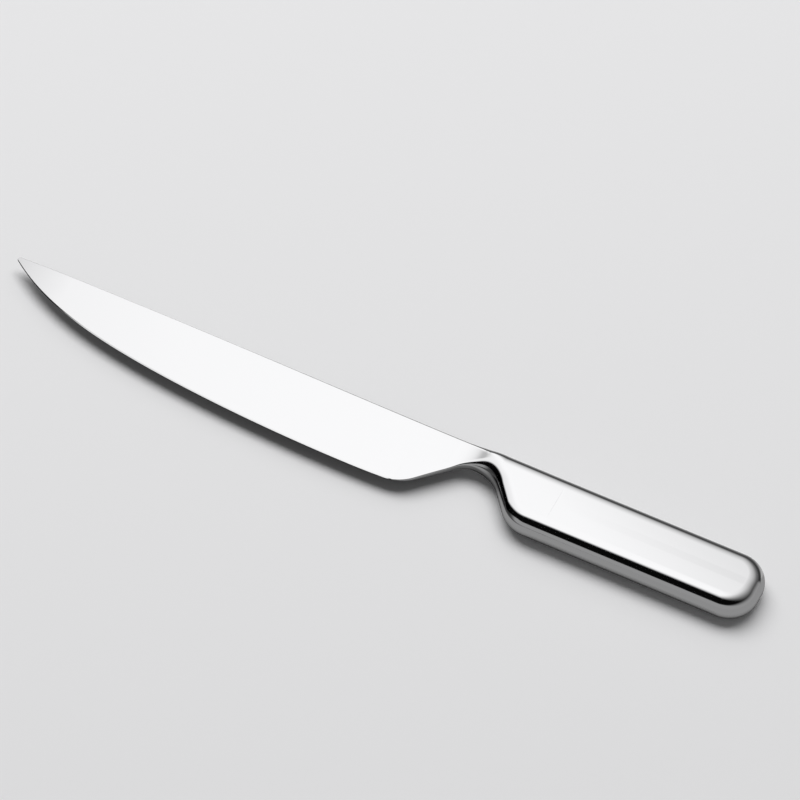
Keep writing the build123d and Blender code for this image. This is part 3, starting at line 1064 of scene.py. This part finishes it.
@dataclass
class Studio:
    """The pale table, the tent of soft light that the steel mirrors, the lamps and the camera."""

    target: Vector = Vector((1.024, 20.052, 6.5)) * MM
    azimuth: float = math.radians(27.008)
    elevation: float = math.radians(54)
    distance: float = 2.4
    lens: float = 286.217
    sensor: float = 36.0
    clip: tuple[float, float] = (0.1, 50.0)
    # The picture is shifted by half a pixel of 800
    half_pixel: float = 0.5 / 800
    table_colour: str = "#EAEAEB"
    table_grain: float = 1.5
    table_grain_depth: float = 0.01
    table_reach: float = 4.0
    contact_reach: float = 12.0
    # Each lamp's length and width in metres, its power in watts and its lean behind the upright
    lamps: tuple[tuple[float, float, float, float], ...] = (
        (4.0, 1.85, 66.5, math.radians(19.0)),
        (5.0, 3.4, 28.5, math.radians(30.0)),
    )
    lamp_distance: float = 2.8
    lamp_side: float = -0.8
    ambient: float = 0.16
    backdrop: float = 0.8
    tent_radius: float = 0.5
    least_height: float = 0.02
    panel_left: float = -2.4
    panel_right: float = 6.6
    # The panel's glow at places from left to right: brightest overhead, fading to the right
    panel_glow: tuple[tuple[float, float], ...] = (
        (-2.2, 1.0), (-0.9, 1.06), (-0.5, 1.14), (-0.25, 1.22), (0.0, 1.24), (0.2, 1.22),
        (0.4, 1.02), (0.6, 0.86), (0.8, 0.74), (1.0, 0.645), (1.25, 0.54), (1.6, 0.39),
        (2.2, 0.2), (3.2, 0.14), (4.2, 0.085), (6.0, 0.05),
    )
    tent_steps: Steps = (
        ("beyond", "DIVIDE", "forward", "level"),
        # A ramp's colours end at 1, so it holds half the glow
        ("glow", "MULTIPLY", "ramp", 2.0),
        # The glow fades towards the horizon
        ("far", "SMOOTHSTEP", "beyond", (6.0, 40.0, 1.0, 0.3)),
        ("glow", "MULTIPLY", "glow", "far"),
        # The panel's far left corner is dimmer
        ("far_part", "SMOOTHSTEP", "beyond", (0.9, 2.4, 0.0, 0.42)),
        ("left_part", "SMOOTHSTEP", "aside", (-1.2, -0.3, 1.0, 0.0)),
        ("corner", "MULTIPLY", "far_part", "left_part"),
        ("corner", "SUBTRACT", 1.0, "corner"),
        ("glow", "MULTIPLY", "glow", "corner"),
        # Its near edge is crisp on the left and ever softer to the right
        ("near_half", "MULTIPLY", "aside", 0.541),
        ("near_half", "ADD", "near_half", 0.246),
        ("near_half", "MAXIMUM", "near_half", 0.15),
        ("near_bend", "MINIMUM", "aside", 0.0),
        ("near_bend", "MULTIPLY", "near_bend", 0.2),
        ("near_place", "ADD", "near_bend", 0.372),
        ("near_place", "ADD", "near_place", "beyond"),
        ("near_share", "DIVIDE", "near_place", "near_half"),
        ("near", "SMOOTHSTEP", "near_share", (-1.0, 1.0, 0.0, 1.0)),
        ("glow", "MULTIPLY", "glow", "near"),
        # Its left edge slants
        ("slant", "MULTIPLY", "aside", 0.85),
        ("slant", "ADD", "slant", "beyond"),
        ("slant", "SMOOTHSTEP", "slant", (-0.96, -0.47, 0.0, 1.0)),
        ("glow", "MULTIPLY", "glow", "slant"),
        # A grey wall on the near side, lower to the left and softer to the right, under black cloth
        ("rightward", "MAXIMUM", "across", 0.0),
        ("wall_turn", "MULTIPLY", "rightward", 0.5),
        ("wall_turn", "SUBTRACT", "forward", "wall_turn"),
        ("wall_top", "LINEAR", "wall_turn", (-0.5, 0.15, 0.435, 0.0)),
        ("wall_fall", "MULTIPLY", "rightward", 0.15),
        ("wall_top", "SUBTRACT", "wall_top", "wall_fall"),
        ("wall_half", "MULTIPLY", "rightward", 0.2),
        ("wall_half", "ADD", "wall_half", 0.03),
        ("wall_place", "SUBTRACT", "height", "wall_top"),
        ("wall_share", "DIVIDE", "wall_place", "wall_half"),
        ("wall", "SMOOTHSTEP", "wall_share", (-1.0, 1.0, 0.345, 0.003)),
        ("left_end", "SMOOTHSTEP", "across", (-1.0, -0.82, 0.1, 1.0)),
        ("wall", "MULTIPLY", "wall", "left_end"),
        ("right_end", "SMOOTHSTEP", "forward", (0.0, 0.14, 1.0, 0.12)),
        ("wall", "MULTIPLY", "wall", "right_end"),
        ("light", "MAXIMUM", "glow", "wall"),
    )
    # What the steel mirrors of the table, a painted glow by the place on it in millimetres
    floor_steps: Steps = (
        # Behind the knife it is pale near the spine and darker further off
        ("past_butt", "LINEAR", "x", (150.0, 250.0, 0.0, -120.0)),
        ("backward", "ADD", "y", "past_butt"),
        ("behind", "LINEAR", "backward", (14.0, 54.0, 0.5, 0.1)),
        ("is_behind", "SMOOTHSTEP", "backward", (4.0, 13.0, 0.0, 1.0)),
        # In front it is grey beside the handle and, as painted shade, dark beside the blade where the blade
        # shades it
        ("near_blade", "LINEAR", "y", (-16.0, 16.0, 0.0, -38.0)),
        ("rightward", "ADD", "x", "near_blade"),
        ("before", "SMOOTHSTEP", "rightward", (12.0, 30.0, 0.066, 0.33)),
        ("behind", "SUBTRACT", "behind", "before"),
        ("behind", "MULTIPLY", "behind", "is_behind"),
        ("shown", "ADD", "before", "behind"),
        # Painted shade: it is almost black where the knife lies close over it
        ("contact", "SMOOTHSTEP", "openness", (0.4, 0.9, 0.06, 1.0)),
        ("shown", "MULTIPLY", "shown", "contact"),
    )

    def camera(self) -> None:
        """Places the camera at the photograph's viewing angle."""
        swing, rise = self.azimuth, self.elevation
        flat = math.cos(rise)
        back = Vector((math.sin(swing) * flat, -math.cos(swing) * flat, math.sin(rise)))
        data = bpy.data.cameras.new("camera")
        data.sensor_width = self.sensor
        data.lens = self.lens
        data.shift_x, data.shift_y = -self.half_pixel, self.half_pixel
        data.clip_start, data.clip_end = self.clip
        camera = bpy.data.objects.new("camera", data)
        camera.location = self.target + back * self.distance
        camera.rotation_euler = back.to_track_quat("Z", "Y").to_euler()
        bpy.context.scene.collection.objects.link(camera)
        bpy.context.scene.camera = camera

    def stage_piece(self, bm: BMesh, name: str, material: Material) -> Object:
        """Adds a piece of the studio, which isn't part of the knife.

        Args:
            bm: The piece in metres.
            name: Its name.
            material: Its material.

        Returns:
            The new object.
        """
        # The glow is for mirrors only, so it isn't sampled as a lamp
        material.cycles.emission_sampling = "NONE"
        piece = new_object(bm, name, material)
        piece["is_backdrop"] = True
        return piece

    def table(self) -> None:
        """Lays the table."""
        # To the eye: a smooth, matt, nearly white laminate. In the steel it shows a painted glow instead of
        # its lit
        # look: grey, with painted shade where the knife lies over it
        material, tree = new_tree("matt_pale_laminate")
        place = add_node(tree, "ShaderNodeTexCoord").outputs["Object"]
        grain = add_node(tree, "ShaderNodeTexNoise", {"Vector": place, "Scale": 1 / (self.table_grain * MM)})
        relief = {"Height": grain.outputs["Fac"], "Strength": 0.02, "Distance": self.table_grain_depth * MM}
        bump = add_node(tree, "ShaderNodeBump", relief)
        paint = {"Color": linear(self.table_colour), "Normal": bump.outputs["Normal"]}
        matt = add_node(tree, "ShaderNodeBsdfDiffuse", paint)
        scaled = add_node(tree, "ShaderNodeVectorMath", {0: place, "Scale": 1 / MM}, operation="SCALE")
        axes = add_node(tree, "ShaderNodeSeparateXYZ", {0: scaled.outputs[0]})
        shade = add_node(tree, "ShaderNodeAmbientOcclusion", {"Distance": self.contact_reach * MM}, samples=8)
        values = {"x": axes.outputs["X"], "y": axes.outputs["Y"], "openness": shade.outputs["AO"]}
        strength = add_steps(tree, self.floor_steps, values)["shown"]
        # The steel sees this painted glow, with its painted shade, instead of the lit table
        mirrored = add_node(tree, "ShaderNodeEmission", {"Strength": strength}).outputs["Emission"]
        path = add_node(tree, "ShaderNodeLightPath")
        shaders = {0: path.outputs["Is Glossy Ray"], 1: matt.outputs["BSDF"], 2: mirrored}
        mix = add_node(tree, "ShaderNodeMixShader", shaders)
        add_node(tree, "ShaderNodeOutputMaterial", {"Surface": mix.outputs["Shader"]})
        bm = bmesh.new()
        bmesh.ops.create_grid(bm, x_segments=8, y_segments=8, size=self.table_reach)
        self.stage_piece(bm, "table", material)

    def tent(self) -> None:
        """Sets up the light tent, which only mirrors show."""
        # To the eye: what the steel mirrors from above, a soft bright panel overhead, black cloth round
        # it and a grey wall on the near side
        material, tree = new_tree("light_tent")
        place = add_node(tree, "ShaderNodeTexCoord").outputs["Object"]
        swing, size = self.azimuth, 1 / self.tent_radius
        values = {}
        for name, axis in (
            ("across", Vector((math.cos(swing), math.sin(swing), 0)) * size),
            ("forward", Vector((-math.sin(swing), math.cos(swing), 0)) * size),
            ("height", Vector((0, 0, 1)) * size),
        ):
            dot = add_node(tree, "ShaderNodeVectorMath", {0: place, 1: axis}, operation="DOT_PRODUCT")
            values[name] = dot.outputs["Value"]
        steps = (
            ("level", "MAXIMUM", "height", self.least_height),
            ("aside", "DIVIDE", "across", "level"),
            ("span", "LINEAR", "aside", (self.panel_left, self.panel_right, 0.0, 1.0)),
        )
        values = add_steps(tree, steps, values)
        ramp = add_node(tree, "ShaderNodeValToRGB", {0: values["span"]})
        stops = ramp.color_ramp.elements
        for aside, glow in self.panel_glow:
            stop = stops.new((aside - self.panel_left) / (self.panel_right - self.panel_left))
            stop.color = (glow / 2, glow / 2, glow / 2, 1)
        stops.remove(stops[-1])
        stops.remove(stops[0])
        values["ramp"] = ramp.outputs["Color"]
        light = add_steps(tree, self.tent_steps, values)["light"]
        shown = add_node(tree, "ShaderNodeEmission", {"Strength": light})
        add_node(tree, "ShaderNodeOutputMaterial", {"Surface": shown.outputs["Emission"]})
        bm = bmesh.new()
        bmesh.ops.create_uvsphere(bm, u_segments=96, v_segments=48, radius=self.tent_radius)
        tent = self.stage_piece(bm, "light_tent", material)
        tent.visible_camera = tent.visible_diffuse = tent.visible_shadow = False
        tent.visible_transmission = tent.visible_volume_scatter = False

    def hang_lamps(self) -> None:
        """Hangs the lamps behind the knife, so that its shadow falls towards the camera."""
        # The first throws the shadow. The second is larger and leans further, and softens it
        for length, width, power, lean in self.lamps:
            away = Vector((0, math.sin(lean), math.cos(lean)))
            data = bpy.data.lights.new("soft_lamp", "AREA")
            data.shape = "ELLIPSE"
            data.size, data.size_y, data.energy = length, width, power
            lamp = bpy.data.objects.new("soft_lamp", data)
            lamp.location = away * self.lamp_distance + Vector((self.lamp_side, 0, 0))
            lamp.rotation_euler = away.to_track_quat("Z", "Y").to_euler()
            lamp.visible_camera = lamp.visible_glossy = False
            bpy.context.scene.collection.objects.link(lamp)

    def world(self) -> None:
        """Fills in the pale surroundings."""
        # To the eye: a pale wall beyond the table, which gives the shadow only a little light
        world = bpy.data.worlds.new("surroundings")
        world.use_nodes = True
        tree = world.node_tree
        tree.nodes.clear()
        path = add_node(tree, "ShaderNodeLightPath")
        levels = {0: path.outputs["Is Camera Ray"], 2: self.ambient, 3: self.backdrop}
        strength = add_node(tree, "ShaderNodeMix", levels)
        backdrop = add_node(tree, "ShaderNodeBackground", {"Strength": strength.outputs["Result"]})
        add_node(tree, "ShaderNodeOutputWorld", {"Surface": backdrop.outputs["Background"]})
        bpy.context.scene.world = world

    def build(self) -> None:
        """Sets up the whole studio."""
        self.camera()
        self.table()
        self.tent()
        self.hang_lamps()
        self.world()
        bpy.context.scene.view_settings.view_transform = "Standard"


def main() -> None:
    """Builds the knife and its studio, and works out both boxes."""
    logging.basicConfig(level=logging.INFO, format="%(message)s")
    form = KnifeForm()
    # The blade's steel is greyed towards its tip: painted shade in its reflection
    Blade(form, PolishedSteel("mirror_polished_blade_steel", haze=0.8)).build()
    HollowHandle(
        form,
        PolishedSteel("mirror_polished_handle_steel"),
        PolishedSteel("flush_ground_weld_steel"),
    ).build()
    HandleCore(SawnSteel(), CastCement()).dress()
    Studio().build()
    boxes = {"cad": CAD_BOX, "visual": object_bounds()}
    boxes = {name: [list(corner) for corner in box] for name, box in boxes.items()}


if __name__ == "__main__":
    main()
